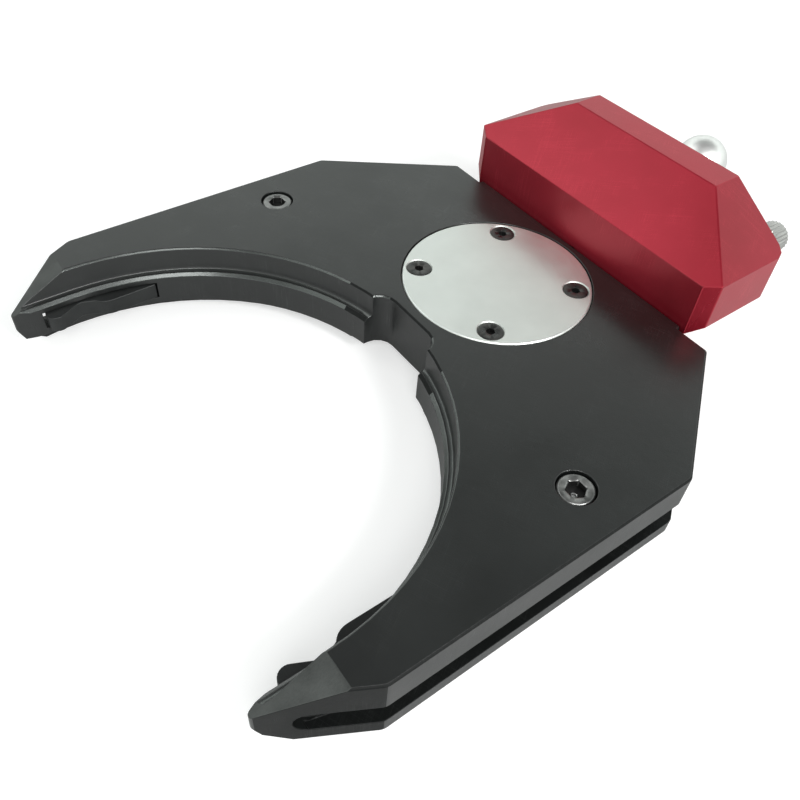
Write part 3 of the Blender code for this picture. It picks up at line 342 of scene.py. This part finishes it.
def traced(node, along):
    """The outline of a turned node on its +X side: (radius, height) points, in order."""
    up = "XYZ".index(along)
    sideways = 3 - up
    middle = middle_of(node)
    work = bmesh.new()
    work.from_mesh(NODES[node].data)
    bmesh.ops.remove_doubles(work, verts=work.verts, dist=NEAR)
    left = {
        vert for vert in work.verts
        if abs(vert.co[sideways] - middle[sideways]) < NEAR and vert.co.x > middle.x + NEAR
    }
    points = []
    here = min(left, key=lambda vert: (round(vert.co[up], 6), vert.co.x))
    while here:
        left.discard(here)
        points.append((here.co.x - middle.x, here.co[up]))
        linked = [edge.other_vert(here) for edge in here.link_edges]
        ahead = [vert for vert in linked if vert in left]
        ahead = ahead or [vert for vert in left if abs(vert.co[up] - here.co[up]) < NEAR]
        here = max(ahead, key=lambda vert: vert.co.x) if ahead else None
    work.free()
    return points


def softened(points, radius, closed=False, steps=3):
    """The same outline with each corner drawn as a small curve."""
    count = len(points)
    drawn = []
    for index, point in enumerate(points):
        here = Vector(point)
        if not closed and index in (0, count - 1):
            drawn.append(point)
            continue
        back = Vector(points[index - 1]) - here
        ahead = Vector(points[(index + 1) % count]) - here
        reach = min(radius, 0.42 * back.length, 0.42 * ahead.length)
        start = here + back.normalized() * reach
        end = here + ahead.normalized() * reach
        for step in range(steps + 1):
            share = step / steps
            bend = start.lerp(here, share).lerp(here.lerp(end, share), share)
            drawn.append(tuple(bend))
    return drawn


def threaded(points, pitch, length):
    """Cut a thread's ridges into the first straight stretch of an outline."""
    first = next(
        index for index in range(len(points) - 1)
        if abs(points[index + 1][0] - points[index][0]) < NEAR
    )
    radius, low = points[first]
    room = min(length, points[first + 1][1] - low)
    ridges = []
    for turn in range(int(room / pitch)):
        base = low + turn * pitch
        ridges += [(radius - 0.55 * pitch, base + 0.5 * pitch), (radius, base + pitch)]
    return points[:first + 1] + ridges + points[first + 1:]


def hexagon(across, corner=30):
    """A hexagon as a radius for each angle, with a corner at the given angle in degrees."""
    def radius(angle):
        off_flat = (angle - radians(corner)) % (pi / 3) - pi / 6
        return across / 2 / cos(off_flat)
    return radius


def placed(name, data):
    """A new object with this data, linked into the scene."""
    item = bpy.data.objects.new(name, data)
    bpy.context.scene.collection.objects.link(item)
    return item


def as_piece(name, work):
    mesh = bpy.data.meshes.new(name)
    work.to_mesh(mesh)
    work.free()
    return placed(name, mesh)


def spun(name, rings, centre, along, steps=96, closed=False):
    """Rings of (radius, height) round an axis. A radius may be a function of the angle."""
    work = bmesh.new()
    rows = []
    for radius, height in rings:
        if radius == 0:
            rows.append([work.verts.new((0, 0, height))] * steps)
            continue
        row = []
        for step in range(steps):
            angle = 2 * pi * step / steps
            reach = radius(angle) if callable(radius) else radius
            row.append(work.verts.new((reach * cos(angle), reach * sin(angle), height)))
        rows.append(row)
    pairs = list(zip(rows, rows[1:]))
    if closed:
        pairs.append((rows[-1], rows[0]))
    for lower, upper in pairs:
        for step in range(steps):
            ahead = (step + 1) % steps
            corners = dict.fromkeys((lower[step], lower[ahead], upper[ahead], upper[step]))
            work.faces.new(list(corners))
    if along == "Y":
        bmesh.ops.rotate(work, matrix=Matrix.Rotation(-pi / 2, 3, "X"), verts=work.verts)
        bmesh.ops.translate(work, vec=(centre[0], 0, centre[2]), verts=work.verts)
    else:
        bmesh.ops.translate(work, vec=(centre[0], centre[1], 0), verts=work.verts)
    bmesh.ops.recalc_face_normals(work, faces=work.faces)
    return as_piece(name, work)


# ---------------------------------------------------------------- finishing a piece

def dressed(piece, *finishes):
    """Smooth shading that keeps flat faces flat, and the piece's materials."""
    for finish in finishes:
        piece.data.materials.append(FINISHES[finish])
    piece.data.shade_smooth()
    piece.data.set_sharp_from_angle(angle=radians(40))
    even = piece.modifiers.new("even_normals", "WEIGHTED_NORMAL")
    even.keep_sharp = True
    return piece


def break_edges(piece, width, angle=30, segments=2, clamp=False):
    bevel = piece.modifiers.new("broken_edges", "BEVEL")
    bevel.width = width
    bevel.segments = segments
    bevel.limit_method = "ANGLE"
    bevel.angle_limit = radians(angle)
    bevel.use_clamp_overlap = clamp


def stand_for(piece, node):
    """Put a piece in its node's place, on the same body, and hide the node."""
    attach(piece, BODY_OF[node])
    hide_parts(node)


def settle(piece):
    """Apply a piece's modifiers to its mesh."""
    bpy.context.view_layer.update()
    evaluated = piece.evaluated_get(bpy.context.evaluated_depsgraph_get())
    mesh = bpy.data.meshes.new_from_object(evaluated)
    piece.modifiers.clear()
    piece.data = mesh


def cut(piece, tool, operation="DIFFERENCE"):
    """Cut a tool out of a piece, or join it on, and remove the tool."""
    change = piece.modifiers.new("cut", "BOOLEAN")
    change.operation = operation
    change.solver = "EXACT"
    change.object = tool
    settle(piece)
    bpy.data.objects.remove(tool)


def turned_piece(node, along, soften=0.12 * MM, closed=False, rings=None, steps=96):
    """Spin a node's own outline again, finer and with rounded corners."""
    if rings is None:
        rings = softened(traced(node, along), soften, closed)
    if not closed:
        rings = [(0, rings[0][1]), *rings, (0, rings[-1][1])]
    piece = spun(f"{node}_fine", rings, middle_of(node), along, steps, closed)
    stand_for(piece, node)
    return dressed(piece, SLOT_OF[node])


def socket_screw(node, along, across, depth, pitch, length, corner=30, finish=None):
    """A screw with a thread on its shank and a hexagon socket in its head.

    The socket measures across from flat to flat, and the drill's cone shows on its floor. The
    socket's inside is near-black as painted shade, and the middle of the cone is bright as a
    painted glint.
    """
    points = traced(node, along)
    top = max(height for radius, height in points)
    last = next(index for index, point in enumerate(points) if abs(point[1] - top) < NEAR)
    points = threaded(points[:last + 1], pitch, length)
    lead_in = 0.59 * across
    rings = [(0, points[0][1])] + softened(points + [(lead_in, top)], 0.18 * MM)
    key = hexagon(across, corner)
    floor = top - depth
    rings += [
        (key, top - 0.05 * across),
        (key, floor),
        (0.34 * across, floor - 0.02 * across),
        (0.17 * across, floor - 0.10 * across),
        (0.12 * across, floor - 0.12 * across),
        (0.05 * across, floor - 0.09 * across),
        (0, floor - 0.08 * across),
    ]
    piece = spun(f"{node}_fine", rings, middle_of(node), along)
    up = "XYZ".index(along)
    middle = middle_of(node)
    middle[up] = 0
    # Painted shade inside the socket, and a painted glint at the middle of the drill's cone.
    wall, cone = 1, 2
    for face in piece.data.polygons:
        outward = face.center - middle
        outward[up] = 0
        sunk = top - 1.3 * depth < face.center[up] < top - 0.06 * across
        if sunk and outward.length < 0.56 * across:
            face.material_index = cone if outward.length < 0.15 * across else wall
    stand_for(piece, node)
    dressed(piece, finish or SLOT_OF[node], "socket_painted_shade", "socket_painted_glint")


def milled_piece(node, width, finishes, angle=30, chosen=None):
    """A node's own shape, with its flat faces made whole and its edges broken.

    Where there are several finishes, the chosen function names the one for each face.
    """
    source = NODES[node].data
    work = bmesh.new()
    corners = [work.verts.new(vert.co) for vert in source.vertices]
    for face in source.polygons:
        work.faces.new([corners[index] for index in face.vertices])
    bmesh.ops.remove_doubles(work, verts=work.verts, dist=NEAR)
    bmesh.ops.dissolve_limit(work, angle_limit=radians(0.4), verts=work.verts, edges=work.edges)
    bmesh.ops.recalc_face_normals(work, faces=work.faces)
    if chosen:
        work.normal_update()
        for face in work.faces:
            face.material_index = finishes.index(chosen(face))
    piece = as_piece(f"{node}_fine", work)
    break_edges(piece, width, angle)
    stand_for(piece, node)
    dressed(piece, *finishes)


# ---------------------------------------------------------------- yoke, housing and fingers

TIPS_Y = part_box("yoke_body")[0].y
OUTER_TIP_END_Y = TIPS_Y + 28 * MM
TIP_SLOPE_END_Y = TIPS_Y + 24 * MM
JAW_CENTRE = Vector((0, TIPS_Y + 20 * MM))
BELOW_SLOTS = 5 * MM
ABOVE_SLOTS = 12.9 * MM
HALFWAY_UP = 12 * MM
YOKE_FINISHES = (
    "black_anodised", "black_anodised_edge", "black_anodised_milled", "black_anodised_matt")


def yoke_finish(face):
    """The jaw's two slanted edges get a paler, glossier copy of the black as a painted highlight,
    the tips are milled on top, and the finger slots, the tips' outer faces and the chamfer round
    the top get a darker, duller copy as painted shade."""
    at = face.calc_center_median()
    facing = face.normal
    heights = [vert.co.z for vert in face.verts]
    # Painted shade inside the finger slots.
    if BELOW_SLOTS < min(heights) and max(heights) < ABOVE_SLOTS:
        return "black_anodised_matt"
    if abs(facing.z) < 0.2 and abs(facing.x) > 0.7:
        # Painted shade on the tips' outer faces.
        outer = at.x * facing.x > 0 and facing.y < -0.3 and at.y < OUTER_TIP_END_Y
        return "black_anodised_matt" if outer else "black_anodised"
    if not 0.4 < facing.z < 0.95:
        return "black_anodised"
    into_jaw = (at.xy - JAW_CENTRE).dot(facing.xy) < 0
    if into_jaw and at.z > HALFWAY_UP and abs(facing.y) < 0.68:
        # Painted highlight on the jaw's slanted edges.
        return "black_anodised_edge"
    if at.y < TIP_SLOPE_END_Y and abs(facing.x) < 0.1:
        return "black_anodised_milled"
    # Painted shade on the chamfer round the top.
    return "black_anodised_matt"


def housing_finish(face):
    """The front wall and the two sloping end faces get a darker copy of the red, as painted
    shade.
    """
    front = face.normal.y < -0.9
    end = abs(face.normal.x) > 0.3 and face.normal.z > 0.3
    return "red_deep" if front or end else "red_anodised"


milled_piece("yoke_body", 0.16 * MM, YOKE_FINISHES, chosen=yoke_finish)
milled_piece("cylinder_housing", 0.14 * MM, ("red_anodised", "red_deep"), 18, housing_finish)
milled_piece("seal_plate", 0.1 * MM, ("black_anodised",))
milled_piece("crosshead", 0.2 * MM, ("bright_steel",))
# The fingers take the near-black steel, painted shade for the slots they run in.
for side in SIDES:
    milled_piece(f"finger_{side}", 0.18 * MM, ("finger_steel",))


# ---------------------------------------------------------------- cover and screws

def make_cover():
    """The bright disc over the centre chamber, countersunk for its four screws."""
    low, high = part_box("cover_disc")
    radius = high.x
    break_low = 0.5 * MM
    break_high = 0.45 * MM
    rim = [
        (radius - break_low, low.z),
        (radius, low.z + break_low),
        (radius, high.z - break_high),
        (radius - break_high, high.z),
    ]
    rings = [(0, low.z), *softened(rim, 0.35 * MM, steps=4), (0, high.z)]
    disc = spun("cover_disc_fine", rings, (0, 0, 0), "Z", 192)
    head_radius = 4.2 * MM
    shank_radius = 2.3 * MM
    sink = [
        (0, high.z + MM),
        (head_radius, high.z + MM),
        (head_radius, high.z - 0.2 * MM),
        (shank_radius, high.z - 2.1 * MM),
        (shank_radius, low.z - MM),
        (0, low.z - MM),
    ]
    for index in range(1, 5):
        cut(disc, spun("sink", sink, middle_of(f"cover_screw_{index}"), "Z", 64))
    break_edges(disc, 0.09 * MM)
    stand_for(disc, "cover_disc")
    dressed(disc, "brushed_aluminium")


make_cover()
for index in range(1, 5):
    socket_screw(
        f"cover_screw_{index}", "Z",
        across=2.5 * MM, depth=1.4 * MM, pitch=0.7 * MM, length=7 * MM)
    socket_screw(
        f"housing_screw_{index}", "Y",
        across=3.0 * MM, depth=2.2 * MM, pitch=0.7 * MM, length=16 * MM)
for side in SIDES:
    socket_screw(
        f"pivot_screw_{side}", "Z",
        across=5.0 * MM, depth=2.3 * MM, pitch=0.8 * MM, length=5.2 * MM,
        corner=0, finish="worn_oxide")


# ---------------------------------------------------------------- inner turned pieces

for side in SIDES:
    turned_piece(f"pivot_bush_{side}", "Z", closed=True)
    turned_piece(f"tail_pin_{side}", "Z")
    turned_piece(f"tail_roller_{side}", "Z", 0.3 * MM, closed=True)
    turned_piece(f"dowel_pin_{side}", "Y", 0.2 * MM)
    turned_piece(f"position_sensor_{side}", "Y", 0.2 * MM)
for node in ("piston", "piston_magnet", "rod_bush"):
    turned_piece(node, "Y", 0.3 * MM, closed=True)
turned_piece("piston_rod", "Y", 0.2 * MM)
turned_piece("elbow_stem", "Y", 0.25 * MM, closed=True)
turned_piece("sensor_socket", "Y", 0.15 * MM)
turned_piece("vent_filter", "Y", 0.5 * MM)
turned_piece("release_collet", "Z", 0.3 * MM, closed=True)


def make_ring_seal(node):
    """An O-ring, round in section."""
    low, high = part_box(node)
    section = (high.y - low.y) / 2
    major = (high.x - low.x) / 2 - section
    middle_y = (low.y + high.y) / 2
    sides = 24
    rings = []
    for step in range(sides):
        angle = 2 * pi * step / sides
        rings.append((major + section * cos(angle), middle_y + section * sin(angle)))
    turned_piece(node, "Y", closed=True, rings=rings)


make_ring_seal("piston_seal")
make_ring_seal("rod_seal")


def make_nut():
    """A hexagon nut with its corners turned off at both ends."""
    low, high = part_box("piston_nut")
    across = min(high.x - low.x, high.z - low.z)
    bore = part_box("piston_rod")[1].x + 0.3 * MM
    full = hexagon(across)
    bevel = 0.5 * MM

    def chamfered(angle):
        return min(full(angle), across / 2 * 1.02)

    rings = [
        (bore, low.y),
        (chamfered, low.y),
        (full, low.y + bevel),
        (full, high.y - bevel),
        (chamfered, high.y),
        (bore, high.y),
    ]
    turned_piece("piston_nut", "Y", closed=True, rings=rings)


make_nut()


def make_spring():
    """The return spring, a round wire wound about the rod."""
    low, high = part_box("return_spring")
    centre = (low + high) / 2
    wire = 0.7 * MM
    coil = (high.x - low.x) / 2 - wire
    turns = 4
    steps = 48 * turns
    sides = 16
    work = bmesh.new()
    rows = []
    for step in range(steps + 1):
        share = step / steps
        angle = 2 * pi * turns * share
        y = low.y + wire + (high.y - low.y - 2 * wire) * share
        outward = Vector((cos(angle), 0, sin(angle)))
        row = []
        for corner in range(sides):
            turn = 2 * pi * corner / sides
            offset = outward * (coil + wire * cos(turn)) + Vector((0, wire * sin(turn), 0))
            row.append(work.verts.new((centre.x + offset.x, y + offset.y, centre.z + offset.z)))
        rows.append(row)
    for lower, upper in zip(rows, rows[1:]):
        for corner in range(sides):
            ahead = (corner + 1) % sides
            work.faces.new((lower[corner], lower[ahead], upper[ahead], upper[corner]))
    work.faces.new(rows[0])
    work.faces.new(rows[-1])
    bmesh.ops.recalc_face_normals(work, faces=work.faces)
    spring = dressed(as_piece("return_spring_fine", work), "bright_steel")
    stand_for(spring, "return_spring")
    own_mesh(spring)


make_spring()


# ---------------------------------------------------------------- fittings

def make_elbow():
    """The swivelling ball of the elbow and the push-in port under it."""
    low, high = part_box("elbow_body")
    radius = (high.x - low.x) / 2
    centre = Vector(((low.x + high.x) / 2, high.y - radius, high.z - radius))
    back = low.y - centre.y
    rings = []
    ball_steps = 48
    for step in range(1, ball_steps):
        angle = pi / 2 - pi * step / ball_steps
        if radius * sin(angle) <= back:
            break
        rings.append((radius * cos(angle), centre.y + radius * sin(angle)))
    rim = (radius ** 2 - back ** 2) ** 0.5
    rings = [(0, centre.y + radius), *rings, (rim, low.y), (0, low.y)]
    elbow = spun("elbow_body_fine", rings, centre, "Y")
    port_radius = 6.2 * MM
    port_break = 0.6 * MM
    port = [
        (0, centre.z),
        (port_radius, centre.z),
        (port_radius, low.z + port_break),
        (port_radius - port_break, low.z),
        (0, low.z),
    ]
    cut(elbow, spun("port", port, centre, "Z"), "UNION")
    break_edges(elbow, 0.4 * MM, angle=35, segments=4, clamp=True)
    settle(elbow)
    seat_radius = 3.7 * MM
    seat = [(0, centre.y), (seat_radius, centre.y), (seat_radius, low.y - MM), (0, low.y - MM)]
    cut(elbow, spun("seat", seat, centre, "Y", 64))
    air_radius = 2.2 * MM
    collet_radius = 4.2 * MM
    collet_top = centre.z - 8 * MM
    tube_way = [
        (0, centre.z + MM),
        (air_radius, centre.z + MM),
        (air_radius, collet_top),
        (collet_radius, collet_top),
        (collet_radius, low.z - MM),
        (0, low.z - MM),
    ]
    cut(elbow, spun("tube_way", tube_way, centre, "Z", 64))
    stand_for(elbow, "elbow_body")
    dressed(elbow, "nickel")


def make_knurled_ring():
    """The coupling ring of the sensor socket, with rounded flutes for the fingers."""
    low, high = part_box("knurled_ring")
    outer = (high.x - low.x) / 2
    bore = 3.8 * MM
    bore_break = 0.2 * MM
    groove = 0.17 * MM
    flutes = 24
    shoulder = outer - 0.45 * MM

    def fluted(angle):
        return outer - groove + groove * cos(flutes * angle)

    rings = [
        (bore + bore_break, low.y),
        (outer - 0.7 * MM, low.y),
        (shoulder, low.y + 0.15 * MM),
        (fluted, low.y + 0.45 * MM),
        (fluted, high.y - 0.6 * MM),
        (shoulder, high.y - 0.25 * MM),
        (outer - 0.75 * MM, high.y),
        (bore + bore_break, high.y),
        (bore, high.y - bore_break),
        (bore, low.y + bore_break),
    ]
    ring = turned_piece("knurled_ring", "Y", closed=True, rings=rings, steps=flutes * 12)
    ring.data.materials[0] = FINISHES["dark_nickel"]


def make_socket_pins():
    """The contact pins inside the sensor socket."""
    centre = middle_of("sensor_socket")
    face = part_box("sensor_socket")[1].y - 2.2 * MM
    circle = 1.35 * MM
    radius = 0.36 * MM
    outline = [(radius, face), (radius, face + 1.5 * MM), (0, face + 1.7 * MM)]
    rings = [(0, face), *softened(outline, 0.2 * MM)]
    for index in range(3):
        angle = radians(90 + 120 * index)
        at = (centre.x + circle * cos(angle), 0, centre.z + circle * sin(angle))
        piece = spun(f"socket_pin_{index + 1}", rings, at, "Y", 24)
        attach(piece, "yoke")
        dressed(piece, "bright_steel")


make_elbow()
make_knurled_ring()
make_socket_pins()


# ---------------------------------------------------------------- stage, lights and camera

def white_floor():
    """Matt white that glows a little where it is seen directly, so the floor stays clean.

    It is clear from below, so the underside can be looked at.
    """
    material = bpy.data.materials.new("white_floor")
    material.use_nodes = True
    nodes = material.node_tree.nodes
    shader = nodes["Principled BSDF"]
    shader.inputs["Base Color"].default_value = (0.62, 0.62, 0.62, 1)
    shader.inputs["Roughness"].default_value = 0.9
    shader.inputs["Specular IOR Level"].default_value = 0.1
    shader.inputs["Emission Color"].default_value = (1, 1, 1, 1)
    seen = nodes.new("ShaderNodeLightPath").outputs["Is Camera Ray"]
    glow = nodes.new("ShaderNodeMath")
    glow.operation = "MULTIPLY"
    glow.inputs[1].default_value = 0.5
    below = nodes.new("ShaderNodeNewGeometry").outputs["Backfacing"]
    surface = nodes.new("ShaderNodeMixShader")
    links = material.node_tree.links
    links.new(seen, glow.inputs[0])
    links.new(glow.outputs[0], shader.inputs["Emission Strength"])
    links.new(below, surface.inputs[0])
    links.new(shader.outputs[0], surface.inputs[1])
    links.new(nodes.new("ShaderNodeBsdfTransparent").outputs[0], surface.inputs[2])
    links.new(surface.outputs[0], nodes["Material Output"].inputs["Surface"])
    return material


def make_floor():
    """A wide floor, a hair below the object."""
    reach = 3.0
    height = cad_bounds[0].z - 0.1 * MM
    corners = [(-reach, -reach), (reach, -reach), (reach, reach), (-reach, reach)]
    mesh = bpy.data.meshes.new("floor")
    mesh.from_pydata([(x, y, height) for x, y in corners], [], [(0, 1, 2, 3)])
    floor = placed("floor", mesh)
    mesh.materials.append(white_floor())


SKY_TINT = (0.94, 1.0, 0.965)
SKY_BELOW = (0.90, 0.95, 0.92, 1)
SKY_TOP = (0.20, 0.20, 0.20, 1)
SKY_LEVELS = {0.46: 0.85, 0.50: 0.95, 0.55: 1.9, 0.60: 1.7, 0.67: 0.34, 0.80: 0.22}


def make_sky():
    """A soft surround, with a bright band just above the horizon and dimmer overhead.

    The levels are brightnesses by height, from 0 straight down through 0.5 at the horizon to 1
    straight up.
    """
    world = bpy.data.worlds.new("studio")
    bpy.context.scene.world = world
    world.use_nodes = True
    nodes = world.node_tree.nodes
    links = world.node_tree.links
    place = nodes.new("ShaderNodeTexCoord")
    split = nodes.new("ShaderNodeSeparateXYZ")
    ramp = nodes.new("ShaderNodeValToRGB")
    links.new(place.outputs["Generated"], split.inputs[0])
    links.new(split.outputs["Z"], ramp.inputs[0])
    stops = ramp.color_ramp.elements
    stops[0].color = SKY_BELOW
    stops[1].color = SKY_TOP
    for position, level in SKY_LEVELS.items():
        stop = stops.new(position)
        stop.color = (*(level * channel for channel in SKY_TINT), 1)
    links.new(ramp.outputs["Color"], nodes["Background"].inputs["Color"])


def make_light(name, at, size, power):
    """A square soft box that faces the middle of the object."""
    lamp = bpy.data.lights.new(name, "AREA")
    lamp.shape = "SQUARE"
    lamp.size = size
    lamp.energy = power
    light = placed(name, lamp)
    target = Vector((0, -0.04, 0.01))
    light.location = at
    light.rotation_euler = (target - Vector(at)).to_track_quat("-Z", "Y").to_euler()


def make_camera():
    """A close view from above and in front of the right finger, rolled a little to the left."""
    data = bpy.data.cameras.new("camera")
    data.lens = 36.166
    data.sensor_width = 36
    data.clip_start = 0.01
    data.clip_end = 20
    camera = placed("camera", data)
    camera.location = (137.41 * MM, -148.03 * MM, 180.14 * MM)
    camera.rotation_euler = [radians(turn) for turn in (42.744, -3.181, 54.018)]
    bpy.context.scene.camera = camera


make_floor()
make_sky()
make_light("soft_box_front", at=(-0.42, -0.27, 0.66), size=0.34, power=0.5)
make_light("soft_box_right", at=(0.68, 0.05, 0.56), size=0.2, power=4.0)
make_light("soft_box_side", at=(0.62, -0.5, 0.75), size=0.45, power=4.0)
make_camera()
bpy.context.scene.view_settings.view_transform = "Standard"
